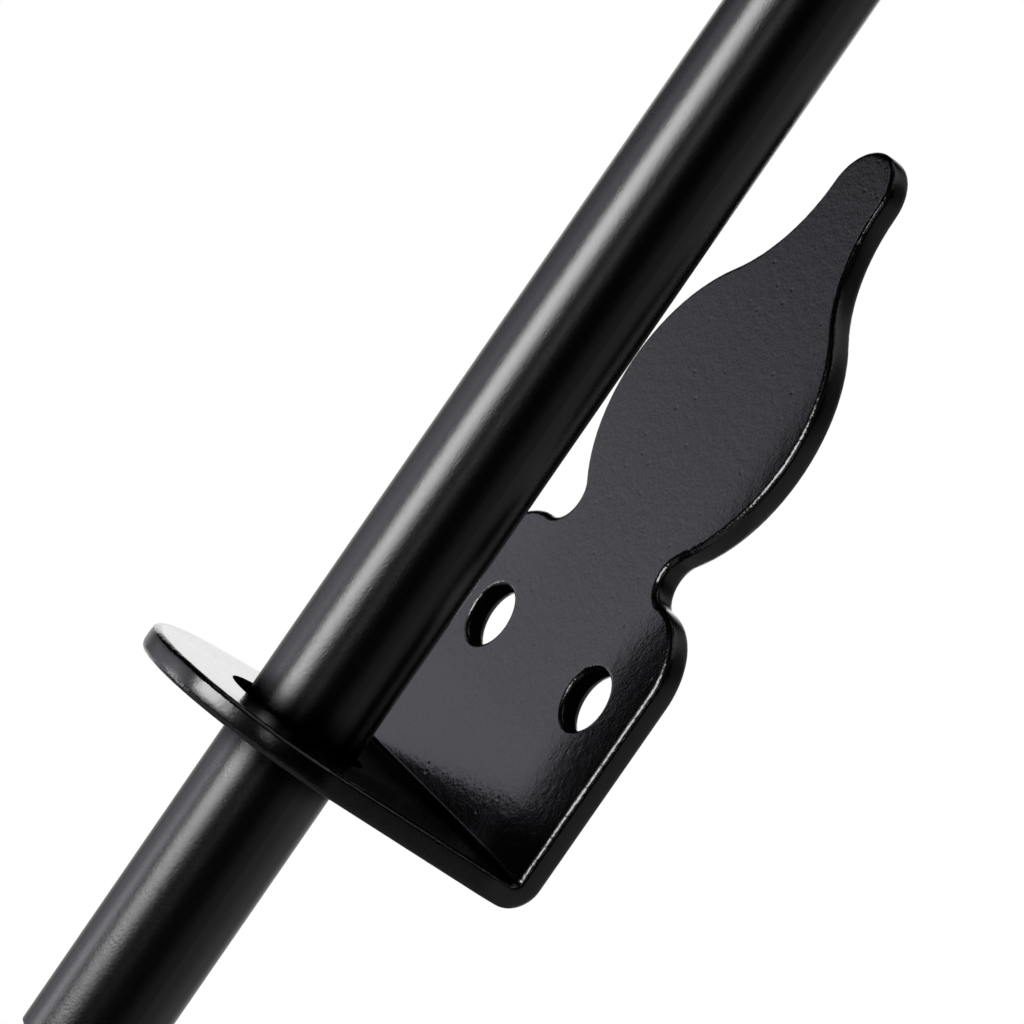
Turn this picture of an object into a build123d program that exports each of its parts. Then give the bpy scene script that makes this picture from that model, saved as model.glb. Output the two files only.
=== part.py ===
from build123d import *
from math import atan2, cos, degrees, radians, sqrt, tan
import os

# Gate drop rod latch: a round steel rod with a bent handle, sliding in two folded sheet guides.
# Millimetres. The gate's face is the plane Y=0, and the latch stands out from it towards -Y.
# The origin is midway between the lower guide's bolt holes, on the gate's face. +Z is up, along the rod.
# The rod is down: its bend rests on the upper guide's tab, and its lower end stands out below.

os.makedirs("parts", exist_ok=True)

# Sheet of the guides
sheet_thickness = 3.2
fold_inner_radius = 1.0
fold_angle = 89.0
edge_easing = 0.4

# Guide plate: square body, neck, round bulb and finger tip
plate_width = 51.5
shoulder_height = 37.7
neck_width = 25.4
neck_radius = 3.4
bulb_radius = 22.0
bulb_arc_inset = 0.7
waist_radius = 21.0
finger_width = 12.3

# Bolt holes through the guide plate
bolt_hole_diameter = 8.3
bolt_hole_spacing = 28.7
bolt_hole_height = 22.85

# Guide tab, which carries the rod
tab_end_radius = 22.0
tab_side_straight = 2.0
tab_side_blend = 18.0
rod_hole_play = 1.1
rod_seat_gap = 0.3
guide_spacing = 200.0

# Rod
rod_diameter = 15.9
rod_to_plate_gap = 14.65
rod_reach_below_fold = 49.8
rod_end_chamfer = 0.6
handle_bend_radius = 20.0
handle_length = 95.0

# Places that follow from the sizes above
fold_z = -bolt_hole_height
fold_outer_radius = fold_inner_radius + sheet_thickness
plate_front_y = -sheet_thickness
taper_start_y = plate_front_y - fold_inner_radius - tab_side_straight
rod_radius = rod_diameter / 2
rod_y = plate_front_y - rod_to_plate_gap - rod_radius
rod_hole_radius = rod_radius + rod_hole_play
rod_hole_y = rod_y - rod_hole_play + rod_seat_gap
tab_end_y = rod_y - tab_end_radius
rod_end_z = fold_z - rod_reach_below_fold

# Centres of the arcs in the right half of the plate's outline, each tangent to the next
plate_half = plate_width / 2
finger_radius = finger_width / 2
neck_x = neck_width / 2 + neck_radius
neck_z = fold_z + shoulder_height + neck_radius
shoulder_radius = plate_half - neck_x
shoulder_z = fold_z + shoulder_height - shoulder_radius
bulb_x = -bulb_arc_inset
bulb_z = neck_z + sqrt((bulb_radius + neck_radius) ** 2 - (neck_x - bulb_x) ** 2)
waist_x = finger_radius + waist_radius
waist_z = bulb_z + sqrt((bulb_radius + waist_radius) ** 2 - (waist_x - bulb_x) ** 2)
plate_top_z = waist_z + finger_radius

# Directions, in degrees, from the bulb's centre to the waist's and from the neck's to the bulb's
waist_turn = degrees(atan2(waist_z - bulb_z, waist_x - bulb_x))
neck_turn = degrees(atan2(bulb_z - neck_z, bulb_x - neck_x))


def tab_top_z(y):
    """Height of the lower tab's top face, which rises a little towards its round end."""
    return fold_z + (plate_front_y - y) * tan(radians(90 - fold_angle))


def tab_under_z(y):
    """Height of the lower tab's underside."""
    return tab_top_z(y) - sheet_thickness / cos(radians(90 - fold_angle))


plate_bottom_z = tab_under_z(0)

# Lower guide: one strip of sheet, folded, and cut to its outlines from the front and from above
with BuildPart() as lower_guide:
    # The folded strip, seen from the side
    with BuildSketch(Plane.YZ) as fold_profile:
        with BuildLine():
            Polyline(
                (0, plate_top_z),
                (0, plate_bottom_z),
                (tab_end_y, tab_under_z(tab_end_y)),
                (tab_end_y, tab_top_z(tab_end_y)),
                (plate_front_y, fold_z),
                (plate_front_y, plate_top_z),
                close=True,
            )
        make_face()
        inner_corner = fold_profile.vertices().sort_by_distance((plate_front_y, fold_z))[0]
        fillet(inner_corner, fold_inner_radius)
        outer_corner = fold_profile.vertices().sort_by_distance((0, plate_bottom_z))[0]
        fillet(outer_corner, fold_outer_radius)
    extrude(amount=plate_half, both=True)

    # The plate's outline, seen from the front: half of it in tangent arcs, then mirrored
    with BuildSketch(Plane.XZ) as front_outline:
        with BuildLine():
            Line((0, plate_bottom_z), (plate_half, plate_bottom_z))
            Line((plate_half, plate_bottom_z), (plate_half, shoulder_z))
            CenterArc((neck_x, shoulder_z), shoulder_radius, 0, 90)
            CenterArc((neck_x, neck_z), neck_radius, 270, neck_turn - 270)
            CenterArc((bulb_x, bulb_z), bulb_radius, neck_turn - 180, waist_turn + 180 - neck_turn)
            CenterArc((waist_x, waist_z), waist_radius, waist_turn + 180, -waist_turn)
            CenterArc((0, waist_z), finger_radius, 0, 90)
            Line((0, plate_top_z), (0, plate_bottom_z))
        make_face()
        mirror(about=Plane.YZ)
    extrude(amount=-tab_end_y, mode=Mode.INTERSECT)

    # The tab's outline, seen from above: a round end about the rod, widening to the plate
    with BuildSketch(Plane.XY.offset(plate_bottom_z)) as tab_outline:
        with Locations((0, rod_y)):
            Circle(tab_end_radius)
        Rectangle(plate_width, -taper_start_y, align=(Align.CENTER, Align.MAX))
        make_hull()
        taper_corners = tab_outline.vertices().group_by(Axis.Y)[-2]
        fillet(taper_corners, tab_side_blend)
    extrude(amount=plate_top_z - plate_bottom_z, mode=Mode.INTERSECT)

    with Locations((0, rod_hole_y, tab_top_z(rod_hole_y))):
        Hole(rod_hole_radius)
    with Locations(Plane.XZ):
        with GridLocations(bolt_hole_spacing, bolt_hole_spacing, 2, 1):
            Hole(bolt_hole_diameter / 2)

    # The sheared edges and the holes' rims are eased. All of them are longer than the sheet is thick.
    across_the_guide = lower_guide.edges().filter_by(Axis.X)
    sheared_edges = lower_guide.edges().filter_by(lambda edge: edge.length > 1.1 * sheet_thickness)
    chamfer(sheared_edges - across_the_guide, edge_easing)

# Upper guide: the same pressing, higher up the gate
with BuildPart() as upper_guide:
    with Locations((0, 0, guide_spacing)):
        add(lower_guide.part)

# The inside of the rod's bend comes to rest on the eased front rim of the upper guide's hole
rim_y = rod_hole_y - rod_hole_radius
rim_z = guide_spacing + tab_top_z(rim_y) - edge_easing
bend_y = rod_y - handle_bend_radius
bend_to_rim = handle_bend_radius - rod_radius - rod_seat_gap
bend_z = rim_z - sqrt(bend_to_rim**2 - (rim_y - bend_y) ** 2)

# Drop rod: one round bar, bent over at the top into its handle
with BuildPart() as drop_rod:
    with BuildSketch(Plane.XY.offset(bend_z)) as rod_section:
        with Locations((0, rod_y)):
            Circle(rod_radius)
    extrude(amount=rod_end_z - bend_z)
    revolve(rod_section.sketch, axis=Axis((0, bend_y, bend_z), (1, 0, 0)), revolution_arc=90)
    handle_start = drop_rod.faces().sort_by(Axis.Y)[0]
    extrude(handle_start, amount=handle_length - handle_bend_radius)
    rod_ends = drop_rod.faces().filter_by(GeomType.PLANE)
    chamfer(rod_ends.edges(), rod_end_chamfer)

# Each piece in its own file
for name, piece in (("lower_guide", lower_guide), ("upper_guide", upper_guide), ("drop_rod", drop_rod)):
    piece.part.label = name
    export_step(piece.part, f"parts/{name}.step")
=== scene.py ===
from math import acos, atan2, cos, degrees, hypot, pi, radians, sin, sqrt, tan

import bmesh
import bpy
from mathutils import Matrix, Vector


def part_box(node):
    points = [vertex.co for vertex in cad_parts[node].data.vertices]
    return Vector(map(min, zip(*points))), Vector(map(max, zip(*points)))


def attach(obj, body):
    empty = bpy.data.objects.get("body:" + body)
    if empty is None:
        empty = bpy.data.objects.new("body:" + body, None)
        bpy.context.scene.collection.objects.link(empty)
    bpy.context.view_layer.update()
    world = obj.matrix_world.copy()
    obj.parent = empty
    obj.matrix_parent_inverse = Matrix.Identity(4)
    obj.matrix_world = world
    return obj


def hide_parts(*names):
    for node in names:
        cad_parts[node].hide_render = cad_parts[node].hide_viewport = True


# Gate drop rod latch, painted black, in a plain white studio.
# Sizes of the latch, its paint and the camera are in millimetres, and those of the studio in metres.
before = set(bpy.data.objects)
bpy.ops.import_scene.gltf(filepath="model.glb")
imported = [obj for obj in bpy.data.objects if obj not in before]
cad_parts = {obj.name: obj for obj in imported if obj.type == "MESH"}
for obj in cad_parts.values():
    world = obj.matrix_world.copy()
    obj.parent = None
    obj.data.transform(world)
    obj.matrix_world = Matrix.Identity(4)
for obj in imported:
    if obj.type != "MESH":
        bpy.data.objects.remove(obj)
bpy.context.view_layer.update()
MM = 0.001

# Sheet of the guides, as in the CAD model
SHEET = 3.2
FOLD_INNER_RADIUS = 1.0
FOLD_RISE = 1.0
FOLD_Z = -22.85
PLATE_FRONT_Y = -SHEET
ROD_Y = -25.8
GUIDE_SPACING = 200.0

# Guide plate: half width, shoulders, neck, bulb, waist and finger, all tangent arcs
PLATE_HALF = 25.75
SHOULDER_Z = FOLD_Z + 37.7
NECK_RADIUS = 3.4
NECK_X = 12.7 + NECK_RADIUS
BULB_RADIUS = 22.0
BULB_X = -0.7
WAIST_RADIUS = 21.0
FINGER_RADIUS = 6.15
BOLT_HOLE_X = 14.35
BOLT_HOLE_RADIUS = 4.15

# Guide tab: round end about the rod, tapered sides
TAB_RADIUS = 22.0
TAPER_START_Y = -6.2
TAPER_BLEND = 18.0
ROD_HOLE_Y = -26.6
ROD_HOLE_RADIUS = 9.05

# Painted edges, as widths on the face and depths in the wall: rolled over by the press on the plate's front
# and the tab's top, less so round the holes, and only eased on the other side
FRONT_ROLL = (0.82, 0.6)
HOLE_ROLL = (0.6, 0.5)
BACK_ROLL = (0.4, 0.8)

# How far the middle of a wall stands out past its front and back, besides the painted edges
CROWN = 0.12

# How finely the painted edges, the walls, the arcs and the fold are divided
EDGE_STEPS = 6
WALL_STEPS = 4
ARC_STEP = 4.0
FOLD_STEPS = 14

# How much a large face outweighs the small ones beside it in the smooth shading: 100 is the most
FLATS_WEIGHT = 100

# Places of the other paints in a guide's list of materials, after the paint of its faces
WALL_PAINT, HOLE_SHADE_PAINT, EDGE_PAINT = 1, 2, 3


def arc(centre_x, centre_v, radius, start, sweep):
    """Points along an arc, from start through sweep, in degrees. Its last point is left to the next piece."""
    steps = max(2, round(abs(sweep) / ARC_STEP))
    turns = [radians(start + sweep * step / steps) for step in range(steps)]
    return [Vector((centre_x + radius * cos(t), centre_v + radius * sin(t))) for t in turns]


def outward(points):
    """Unit normals of a closed line of points, on its right-hand side."""
    normals = []
    for i, point in enumerate(points):
        along = points[(i + 1) % len(points)] - points[i - 1]
        normals.append(Vector((along.y, -along.x)).normalized())
    return normals


# The fold's centre, and the flat pattern's height v: zero where the plate ends and the fold begins
fold_y = PLATE_FRONT_Y - FOLD_INNER_RADIUS
fold_sweep = radians(90 + FOLD_RISE)
fold_z = FOLD_Z + FOLD_INNER_RADIUS * (tan(radians(FOLD_RISE)) + 1 / cos(radians(FOLD_RISE)))
fold_length = fold_sweep * (FOLD_INNER_RADIUS + SHEET / 2)
tab_start_y = fold_y - FOLD_INNER_RADIUS * sin(radians(FOLD_RISE))


def tab_v(y):
    """Height in the flat pattern of a point of the tab."""
    return -fold_length - (tab_start_y - y) / cos(radians(FOLD_RISE))


def guide_outline():
    """The guide's outline in its flat pattern, anticlockwise from the middle of the tab's round end."""
    start_x, start_v = PLATE_HALF, tab_v(TAPER_START_Y) - tab_v(ROD_Y)
    taper = degrees(acos(TAB_RADIUS / hypot(start_x, start_v)) - atan2(start_v, start_x))
    blend_v = tab_v(TAPER_START_Y) + TAPER_BLEND * tan(radians(taper / 2))
    neck_z = SHOULDER_Z + NECK_RADIUS
    bulb_z = neck_z + sqrt((BULB_RADIUS + NECK_RADIUS) ** 2 - (NECK_X - BULB_X) ** 2)
    waist_x = FINGER_RADIUS + WAIST_RADIUS
    waist_z = bulb_z + sqrt((BULB_RADIUS + WAIST_RADIUS) ** 2 - (waist_x - BULB_X) ** 2)
    waist_turn = degrees(atan2(waist_z - bulb_z, waist_x - BULB_X))
    neck_turn = degrees(atan2(bulb_z - neck_z, BULB_X - NECK_X))
    shoulder = PLATE_HALF - NECK_X
    right = (
        arc(0, tab_v(ROD_Y), TAB_RADIUS, -90, 90 - taper)
        + arc(PLATE_HALF - TAPER_BLEND, blend_v, TAPER_BLEND, -taper, taper)
        + arc(NECK_X, SHOULDER_Z - shoulder - fold_z, shoulder, 0, 90)
        + arc(NECK_X, neck_z - fold_z, NECK_RADIUS, 270, neck_turn - 270)
        + arc(BULB_X, bulb_z - fold_z, BULB_RADIUS, neck_turn - 180, waist_turn + 180 - neck_turn)
        + arc(waist_x, waist_z - fold_z, WAIST_RADIUS, waist_turn + 180, -waist_turn)
        + arc(0, waist_z - fold_z, FINGER_RADIUS, 0, 90)
    )
    top = Vector((0, waist_z + FINGER_RADIUS - fold_z))
    left = [Vector((-p.x, p.y)) for p in reversed(right[1:])]
    return right + [top] + left


def folded(point):
    """Where a point of the flat pattern, x, v and depth into the sheet, lies on the folded guide."""
    x, v, depth = point
    if v >= 0:
        return Vector((x, PLATE_FRONT_Y + depth, fold_z + v))
    turn = max(v / fold_length, -1) * fold_sweep
    radius = FOLD_INNER_RADIUS + depth
    place = Vector((x, fold_y + radius * cos(turn), fold_z + radius * sin(turn)))
    beyond = max(-v - fold_length, 0)
    return place + beyond * Vector((0, sin(turn), -cos(turn)))


def rolled(width, depth):
    """A quarter of an ellipse over an edge, as distances in from the wall and from the face."""
    turns = [pi / 2 * step / EDGE_STEPS for step in range(EDGE_STEPS + 1)]
    return [(width * (1 - sin(t)), depth * (1 - cos(t))) for t in turns]


def section(front_roll):
    """The sheet's edge, ring by ring from front to back: distances in from the wall's middle, and depths."""
    start, end = front_roll[1], SHEET - BACK_ROLL[1]
    front = rolled(*front_roll)
    wall = [(0, start + (end - start) * step / WALL_STEPS) for step in range(1, WALL_STEPS)]
    back = [(inset, SHEET - depth) for inset, depth in reversed(rolled(*BACK_ROLL))]
    return [(inset + CROWN * (2 * depth / SHEET - 1) ** 2, depth) for inset, depth in front + wall + back]


def guide(name, lift):
    """One guide: a sheet with rounded edges, cut to its flat pattern and then folded."""
    bm = bmesh.new()
    rod_hole = arc(0, tab_v(ROD_HOLE_Y), ROD_HOLE_RADIUS, 360, -360)
    loops = [
        (guide_outline(), FRONT_ROLL),
        (arc(-BOLT_HOLE_X, -fold_z, BOLT_HOLE_RADIUS, 360, -360), HOLE_ROLL),
        (arc(BOLT_HOLE_X, -fold_z, BOLT_HOLE_RADIUS, 360, -360), HOLE_ROLL),
        (rod_hole, HOLE_ROLL),
    ]
    front_rim, back_rim = [], []
    for points, front_roll in loops:
        # Bolt hole walls take the glossless hole paint, and the rod's hole takes it all round, rims too:
        # painted shade in the holes and round the rod
        wall_paint = HOLE_SHADE_PAINT if front_roll is HOLE_ROLL else WALL_PAINT
        normals = outward(points)
        rings = []
        for inset, depth in section(front_roll):
            spots = [p - inset * n for p, n in zip(points, normals)]
            rings.append([bm.verts.new((p.x, p.y, depth)) for p in spots])
        for row, (near, far) in enumerate(zip(rings, rings[1:])):
            in_wall = EDGE_STEPS <= row < EDGE_STEPS + WALL_STEPS
            for i in range(len(points)):
                face = bm.faces.new((near[i - 1], far[i - 1], far[i], near[i]))
                face.material_index = wall_paint if in_wall or points is rod_hole else EDGE_PAINT
        for ring, rim in ((rings[0], front_rim), (rings[-1], back_rim)):
            rim += [bm.edges.get((ring[i - 1], ring[i])) for i in range(len(ring))]
    for rim in (front_rim, back_rim):
        bmesh.ops.triangle_fill(bm, use_beauty=True, edges=rim)
    for step in range(FOLD_STEPS + 1):
        cut = bm.verts[:] + bm.edges[:] + bm.faces[:]
        at = Vector((0, -fold_length * step / FOLD_STEPS, 0))
        bmesh.ops.bisect_plane(bm, geom=cut, plane_co=at, plane_no=(0, 1, 0))
    bmesh.ops.recalc_face_normals(bm, faces=bm.faces)
    for vert in bm.verts:
        vert.co = (folded(vert.co) + Vector((0, 0, lift))) * MM
    mesh = bpy.data.meshes.new(name)
    bm.to_mesh(mesh)
    bm.free()
    mesh.shade_smooth()
    piece = bpy.data.objects.new(name, mesh)
    bpy.context.scene.collection.objects.link(piece)
    flats = piece.modifiers.new("keep_flats_flat", "WEIGHTED_NORMAL")
    flats.weight = FLATS_WEIGHT
    return piece


def maths(tree, operation, *inputs, kind="ShaderNodeMath"):
    """A math or vector math node's result. An input is a socket to link or a plain value to set."""
    node = tree.nodes.new(kind)
    node.operation = operation
    for socket, given in zip(node.inputs, inputs):
        if isinstance(given, bpy.types.NodeSocket):
            tree.links.new(given, socket)
        else:
            socket.default_value = given
    return node.outputs["Value"]


def mapped(tree, along, start, end, first=0.0, last=1.0, smooth=False):
    """A value that goes from first to last, and no further, as another goes from start to end."""
    node = tree.nodes.new("ShaderNodeMapRange")
    if smooth:
        node.interpolation_type = "SMOOTHSTEP"
    tree.links.new(along, node.inputs["Value"])
    for name, given in (("From Min", start), ("From Max", end), ("To Min", first), ("To Max", last)):
        node.inputs[name].default_value = given
    return node.outputs["Result"]


def noise(tree, place, size):
    """A random value from 0 to 1 that changes over a size in mm."""
    node = tree.nodes.new("ShaderNodeTexNoise")
    node.inputs["Scale"].default_value = 1 / (size * MM)
    node.inputs["Detail"].default_value = 2
    tree.links.new(place, node.inputs["Vector"])
    return node.outputs["Fac"]


def bumped(tree, height, unit, normal=None):
    """A normal bent by a height, whose unit is given in mm, over another normal if there is one."""
    node = tree.nodes.new("ShaderNodeBump")
    node.inputs["Distance"].default_value = unit * MM
    tree.links.new(height, node.inputs["Height"])
    if normal:
        tree.links.new(normal, node.inputs["Normal"])
    return node.outputs["Normal"]


# The press bows the plate between two heights above its fold, and lets its sides fall away between two
# distances from its middle, up to where that fades out. It shows only in what the paint mirrors.
BOW_HEIGHTS = (1.0, 16.0)
BOW_DEPTH = 0.38
SIDE_PLACES = (7.0, 23.0)
SIDE_DEPTH = -0.32
SIDE_FADE_HEIGHTS = (28.0, 43.0)

# A guide's heights are counted from this far under its fold, where the next guide's start
UNDER_FOLD = 50.0


def bowed(tree, place):
    """The guide's face, bowed by the press: a normal to start the paint's own bumps from."""
    parts = tree.nodes.new("ShaderNodeSeparateXYZ")
    tree.links.new(place, parts.inputs["Vector"])
    above = maths(tree, "MULTIPLY_ADD", parts.outputs["Z"], 1 / MM, -FOLD_Z)
    above = maths(tree, "WRAP", above, GUIDE_SPACING - UNDER_FOLD, -UNDER_FOLD)
    aside = maths(tree, "MULTIPLY", maths(tree, "ABSOLUTE", parts.outputs["X"]), 1 / MM)
    bow = mapped(tree, above, *BOW_HEIGHTS, 0, BOW_DEPTH, smooth=True)
    fall = mapped(tree, aside, *SIDE_PLACES, 0, SIDE_DEPTH, smooth=True)
    fade = mapped(tree, above, *SIDE_FADE_HEIGHTS, 1, 0, smooth=True)
    return bumped(tree, maths(tree, "ADD", bow, maths(tree, "MULTIPLY", fall, fade)), unit=1)


# Faint mottling of the pressed paint's gloss: its size, the noise it is drawn from, and the levels it gives
MOTTLE_SIZE = 0.45
MOTTLE_NOISE = (0.2, 0.8)
MOTTLE_LEVELS = (0.4, 0.6)

# Small sparse pits in the pressed paint
PIT_SPACING = 3.0
PIT_WIDTH = 0.45
PIT_DEPTH = 0.02

# Painted shade in corners: how open a corner is where the paint's gloss is all gone, and where it is full
CORNER_SHADE_OPENNESS = (0.65, 0.95)
CORNER_SHADE_SAMPLES = 8

# Paint's refraction, the shader's own level of gloss, and three blacks
PAINT_IOR = 1.5
FULL_GLOSS = 0.5
BLACK = (0.0005, 0.0005, 0.0006)
DULL_BLACK = (0.003, 0.003, 0.003)
DEEP_BLACK = (0.0003, 0.0003, 0.0004)


def paint(name, colour, roughness, grain, peel, pressed=False, gloss=FULL_GLOSS, corner_shade=0.0):
    """Black paint. Its grain and its wider orange peel are each a size and a depth, and the corner reach, in
    mm, is how close other parts must come to dim its gloss, as painted shade.
    """
    material = bpy.data.materials.new(name)
    material.use_nodes = True
    tree = material.node_tree
    shader = tree.nodes["Principled BSDF"]
    shader.inputs["Base Color"].default_value = (*colour, 1)
    shader.inputs["Roughness"].default_value = roughness
    shader.inputs["IOR"].default_value = PAINT_IOR
    shader.inputs["Specular IOR Level"].default_value = gloss
    # Painted shade: the gloss dims where other parts close in round the paint
    if corner_shade:
        nearby = tree.nodes.new("ShaderNodeAmbientOcclusion")
        nearby.samples = CORNER_SHADE_SAMPLES
        nearby.inputs["Distance"].default_value = corner_shade * MM
        shaded_gloss = mapped(tree, nearby.outputs["AO"], *CORNER_SHADE_OPENNESS, 0, gloss)
        tree.links.new(shaded_gloss, shader.inputs["Specular IOR Level"])
    place = tree.nodes.new("ShaderNodeTexCoord").outputs["Object"]
    normal = bowed(tree, place) if pressed else None
    for size, depth in (peel, grain):
        normal = bumped(tree, noise(tree, place, size), depth, normal)
    if pressed:
        mottling = mapped(tree, noise(tree, place, MOTTLE_SIZE), *MOTTLE_NOISE, *MOTTLE_LEVELS)
        tree.links.new(mottling, shader.inputs["Specular IOR Level"])
        cells = tree.nodes.new("ShaderNodeTexVoronoi")
        cells.inputs["Scale"].default_value = 1 / (PIT_SPACING * MM)
        tree.links.new(place, cells.inputs["Vector"])
        pits = mapped(tree, cells.outputs["Distance"], 0, PIT_WIDTH / PIT_SPACING, smooth=True)
        normal = bumped(tree, pits, PIT_DEPTH, normal)
    tree.links.new(normal, shader.inputs["Normal"])
    return material


# A guide's paints, in the order of their places: face, wall, hole and edge
guide_paints = (
    paint("guide_paint", BLACK, 0.15, grain=(0.4, 0.015), peel=(1.2, 0.024), pressed=True),
    paint("wall_paint", BLACK, 0.2, grain=(0.4, 0.01), peel=(2.0, 0.03)),
    # The holes' paint is matt and has no gloss at all, so it stays black: painted shade
    paint("hole_shade_paint", DULL_BLACK, 0.5, grain=(0.4, 0.05), peel=(2.0, 0.04), gloss=0.0),
    paint("edge_paint", BLACK, 0.17, grain=(0.5, 0.03), peel=(1.6, 0.12)),
)
# The rod's gloss dims within 6 mm of the tabs it passes through: painted shade round its foot
rod_paint = paint("rod_paint", DEEP_BLACK, 0.25, grain=(0.22, 0.026), peel=(3.0, 0.006), corner_shade=6.0)

for node, lift in (("lower_guide", 0.0), ("upper_guide", GUIDE_SPACING)):
    piece = guide("painted_" + node, lift)
    for guide_paint in guide_paints:
        piece.data.materials.append(guide_paint)
    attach(piece, "guides")
    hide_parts(node)

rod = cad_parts["drop_rod"]
for slot in rod.material_slots:
    slot.material = rod_paint

# Camera, fitted to the photograph's outlines: its angles in degrees, then its distance, scale and shift in mm
CAMERA_AZIMUTH = 57.6621
CAMERA_HEIGHT = 3.5828
CAMERA_ROLL = 34.5923
CAMERA_DISTANCE = 607.53
PIXELS_PER_MM = 8.1293
CAMERA_SHIFT = (26.0043, 26.4865)
PHOTO_SIDE = 1024
SENSOR = 36.0
CLIP_START = 10.0


def direction(turn, rise):
    """Unit vector towards a place in the studio: degrees to the camera's right, and above the horizon."""
    azimuth = radians(CAMERA_AZIMUTH + turn)
    flat = Vector((sin(azimuth), -cos(azimuth), 0))
    return flat * cos(radians(rise)) + Vector((0, 0, sin(radians(rise))))


back = direction(0, CAMERA_HEIGHT)
level_right = Vector((0, 0, 1)).cross(back).normalized()
level_up = back.cross(level_right)
roll = radians(CAMERA_ROLL)
right = level_right * cos(roll) + level_up * sin(roll)
up = level_up * cos(roll) - level_right * sin(roll)
fold_on_rod = Vector((0, ROD_Y, FOLD_Z))
target = (fold_on_rod + right * CAMERA_SHIFT[0] + up * CAMERA_SHIFT[1]) * MM
lens = bpy.data.cameras.new("camera")
lens.sensor_width = SENSOR
lens.lens = SENSOR * PIXELS_PER_MM * CAMERA_DISTANCE / PHOTO_SIDE
lens.clip_start = CLIP_START * MM
camera = bpy.data.objects.new("camera", lens)
turned = Matrix((right, up, back)).transposed().to_4x4()
camera.matrix_world = Matrix.Translation(target + back * CAMERA_DISTANCE * MM) @ turned
bpy.context.scene.collection.objects.link(camera)
bpy.context.scene.camera = camera


def softbox(name, turn, rise, distance, size, brightness):
    """A soft lamp that faces the latch, with its brightness as the camera would see it."""
    width, height = size
    lamp = bpy.data.lights.new(name, "AREA")
    lamp.shape = "RECTANGLE"
    lamp.size = width
    lamp.size_y = height
    lamp.energy = brightness * pi * width * height
    box = bpy.data.objects.new(name, lamp)
    towards = direction(turn, rise)
    facing = towards.to_track_quat("Z", "Y").to_matrix().to_4x4()
    box.matrix_world = Matrix.Translation(target + towards * distance) @ facing
    bpy.context.scene.collection.objects.link(box)


softbox("key_softbox", turn=-62.5, rise=0.5, distance=1.4, size=(0.54, 0.6), brightness=15.2)
softbox("side_softbox", turn=-47, rise=0.5, distance=1.4, size=(0.24, 0.6), brightness=7)
softbox("slit_softbox", turn=-14, rise=5, distance=1.4, size=(0.16, 0.6), brightness=2.3)
softbox("low_softbox", turn=-98, rise=-22, distance=1.2, size=(0.35, 0.4), brightness=3.5)


def seen_white(tree):
    """1 for the camera's own rays, also through something clear, and 0 for light on its way to a surface."""
    path = tree.nodes.new("ShaderNodeLightPath")
    return maths(tree, "MAXIMUM", path.outputs["Is Camera Ray"], path.outputs["Is Transmission Ray"])


# Floor: pale, well under the rod's end, white to the camera but for the latch's shadow
FLOOR_GAP = 0.3
FLOOR_RADIUS = 0.6
FLOOR_SIDES = 96
FLOOR_GREY = 0.6
FLOOR_GLOW = 0.6
bm = bmesh.new()
bmesh.ops.create_circle(bm, cap_ends=True, radius=FLOOR_RADIUS, segments=FLOOR_SIDES)
floor_mesh = bpy.data.meshes.new("floor")
bm.to_mesh(floor_mesh)
bm.free()
floor = bpy.data.objects.new("floor", floor_mesh)
floor.location = (0, 0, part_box("drop_rod")[0].z - FLOOR_GAP)
bpy.context.scene.collection.objects.link(floor)

pale = bpy.data.materials.new("floor_white")
pale.use_nodes = True
tree = pale.node_tree
shader = tree.nodes["Principled BSDF"]
shader.inputs["Base Color"].default_value = (FLOOR_GREY, FLOOR_GREY, FLOOR_GREY, 1)
shader.inputs["Roughness"].default_value = 1
shader.inputs["Specular IOR Level"].default_value = 0
shader.inputs["Emission Color"].default_value = (1, 1, 1, 1)
glow = maths(tree, "MULTIPLY", seen_white(tree), FLOOR_GLOW)
tree.links.new(glow, shader.inputs["Emission Strength"])
floor.data.materials.append(pale)

# Studio: white to the camera, while the paint mirrors a darker room. From the bottom up, that has a ground, a
# skirting, low walls, high walls, a ceiling and a zenith. All but the zenith are given as turns from the
# camera, in degrees to its right, each with its brightness.
GROUND = (
    (-180, 1.2), (-130, 1.0), (-106, 1.0), (-95, 1.2), (-80, 0.2), (-32, 0.0), (30, 0.0),
    (44, 0.18), (64, 0.28), (90, 0.4), (115, 0.9), (140, 1.2), (180, 1.2),
)
SKIRTING = (
    (-180, 1.3), (-125, 1.1), (-116, 0.9), (-106, 1.2), (-95, 1.7), (-80, 0.3), (-32, 0.15), (30, 0.15),
    (60, 0.28), (90, 0.35), (115, 0.7), (140, 1.0), (180, 1.3),
)
LOW_WALLS = (
    (-180, 0.6), (-140, 0.3), (-122, 1.05), (-106, 1.45), (-95, 2.2), (-88, 1.4), (-82, 0.4), (-76, 0.0),
    (-32, 0.0), (30, 0.0), (42, 0.14), (51, 0.27), (64, 0.3), (90, 0.35), (114, 0.44), (126, 0.25),
    (150, 0.4), (180, 0.6),
)
HIGH_WALLS = (
    (-180, 1.7), (-160, 1.7), (-145, 0.0), (-111, 0.0), (-104, 0.7), (-88, 0.8), (-82, 0.2), (-32, 0.0),
    (30, 0.0), (42, 0.09), (51, 0.2), (64, 0.27), (90, 0.35), (114, 0.4), (126, 0.15), (150, 0.25),
    (163, 1.7), (180, 1.7),
)
CEILING = (
    (-180, 0.0), (-40, 0.0), (0, 0.1), (30, 0.0), (58, 0.0), (72, 0.1), (100, 0.12), (120, 0.3),
    (150, 0.3), (165, 0.0), (180, 0.0),
)
ZENITH = (0.7, 0.7, 0.7)

# Rises, in degrees, between which each of them gives way to the next
GROUND_TO_SKIRTING = (-36, -28)
SKIRTING_TO_LOW = (-19, -13)
HIGH_TO_CEILING = (12, 35)
CEILING_TO_ZENITH = (55, 70)

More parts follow.
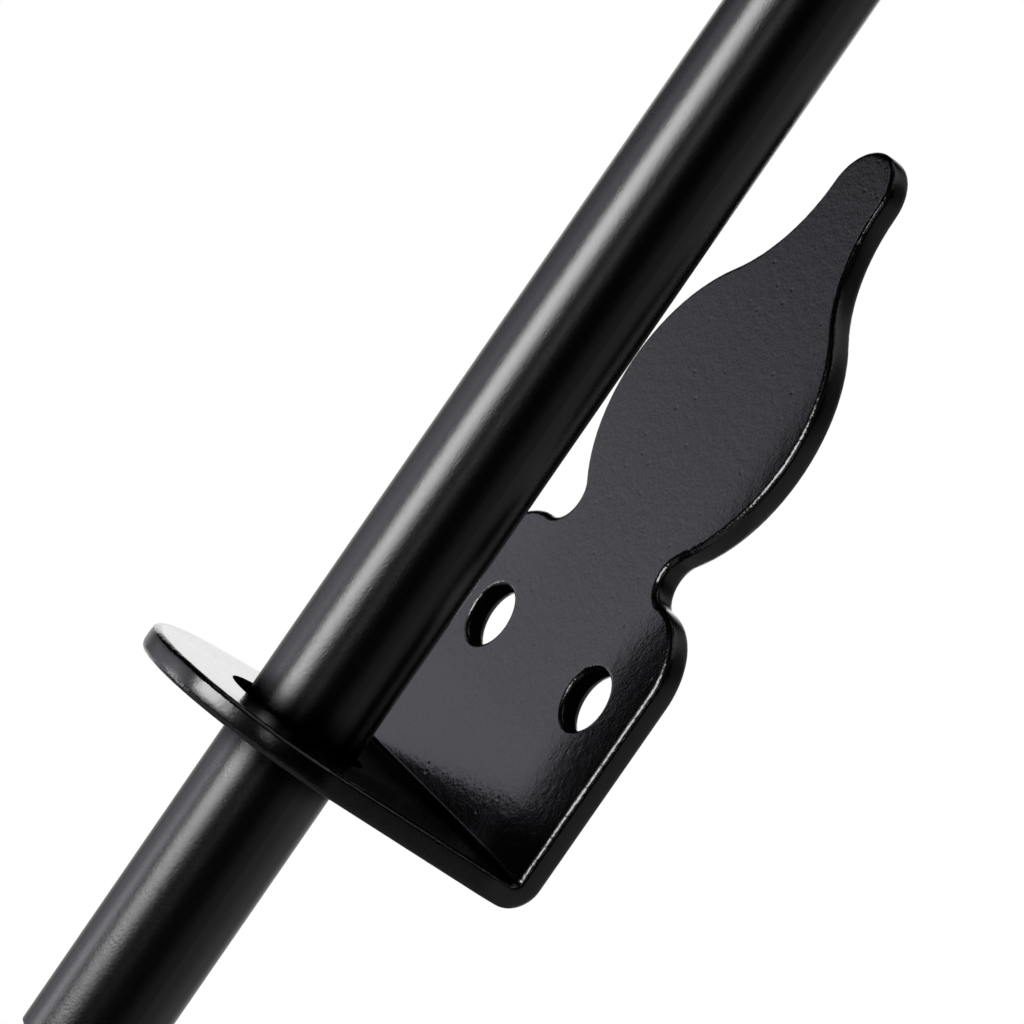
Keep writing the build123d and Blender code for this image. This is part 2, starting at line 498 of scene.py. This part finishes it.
# The high walls come in by steps: rises, each with how much of them shows there
HIGH_WALLS_SHOW = (
    (-90, 0.1), (-15, 0.12), (-5, 0.14), (-2, 0.4), (0, 0.54), (2, 0.68), (3.3, 0.88), (4.2, 1.0), (90, 1.0),
)

# The room is a little cool between these two turns, where the plates' fronts mirror it
COOL_FROM, COOL_TO = -135, -80
COOL = (0.97, 0.95, 1.09)
WHITE = (1, 1, 1)


def blend(tree, share, first, second):
    """A colour from first, at share 0, to second, at share 1."""
    node = tree.nodes.new("ShaderNodeMix")
    node.data_type = "RGBA"
    tree.links.new(share, node.inputs["Factor"])
    for name, given in (("A", first), ("B", second)):
        socket = next(i for i in node.inputs if i.name == name and i.type == "RGBA")
        if isinstance(given, bpy.types.NodeSocket):
            tree.links.new(given, socket)
        else:
            socket.default_value = (*given, 1)
    return next(o for o in node.outputs if o.type == "RGBA")


def between(tree, height, low, high):
    """A share from 0 to 1, as the height of the direction looked in goes from low to high, in degrees."""
    return mapped(tree, height, sin(radians(low)), sin(radians(high)))


def ramp(tree, share, given):
    """A colour that changes with a share from 0 to 1, from a list of shares and colours."""
    node = tree.nodes.new("ShaderNodeValToRGB")
    tree.links.new(share, node.inputs["Fac"])
    stops = node.color_ramp.elements
    while len(stops) < len(given):
        stops.new(position=0.5)
    for stop, (position, colour) in zip(stops, given):
        stop.position = position
        stop.color = (*colour, 1)
    return node.outputs["Color"]


def all_round(tree, share, given):
    """The room's colours all round, from a list of turns and brightnesses."""
    stops = []
    for turn, brightness in given:
        tint = COOL if COOL_FROM <= turn <= COOL_TO else WHITE
        stops.append((0.5 + turn / 360, [brightness * part for part in tint]))
    return ramp(tree, share, stops)


def high_walls_show(tree, height):
    """How much of the high walls shows, from 0 to 1, at the height of the direction looked in."""
    stops = [(0.5 + sin(radians(rise)) / 2, (part, part, part)) for rise, part in HIGH_WALLS_SHOW]
    return ramp(tree, maths(tree, "MULTIPLY_ADD", height, 0.5, 0.5), stops)


world = bpy.data.worlds.new("studio")
bpy.context.scene.world = world
world.use_nodes = True
tree = world.node_tree

# The direction looked in: its height, and its turn as a share of the way round, with the camera's at a half
looking = tree.nodes.new("ShaderNodeTexCoord").outputs["Generated"]
towards_camera = maths(tree, "DOT_PRODUCT", looking, direction(0, 0), kind="ShaderNodeVectorMath")
towards_right = maths(tree, "DOT_PRODUCT", looking, direction(90, 0), kind="ShaderNodeVectorMath")
height = maths(tree, "DOT_PRODUCT", looking, (0, 0, 1), kind="ShaderNodeVectorMath")
turn = maths(tree, "ARCTAN2", towards_right, towards_camera)
share = maths(tree, "MULTIPLY_ADD", turn, 1 / (2 * pi), 0.5)

room = all_round(tree, share, GROUND)
room = blend(tree, between(tree, height, *GROUND_TO_SKIRTING), room, all_round(tree, share, SKIRTING))
room = blend(tree, between(tree, height, *SKIRTING_TO_LOW), room, all_round(tree, share, LOW_WALLS))
room = blend(tree, high_walls_show(tree, height), room, all_round(tree, share, HIGH_WALLS))
room = blend(tree, between(tree, height, *HIGH_TO_CEILING), room, all_round(tree, share, CEILING))
room = blend(tree, between(tree, height, *CEILING_TO_ZENITH), room, ZENITH)
tree.links.new(blend(tree, seen_white(tree), room, WHITE), tree.nodes["Background"].inputs["Color"])

bpy.context.scene.view_settings.view_transform = "Standard"
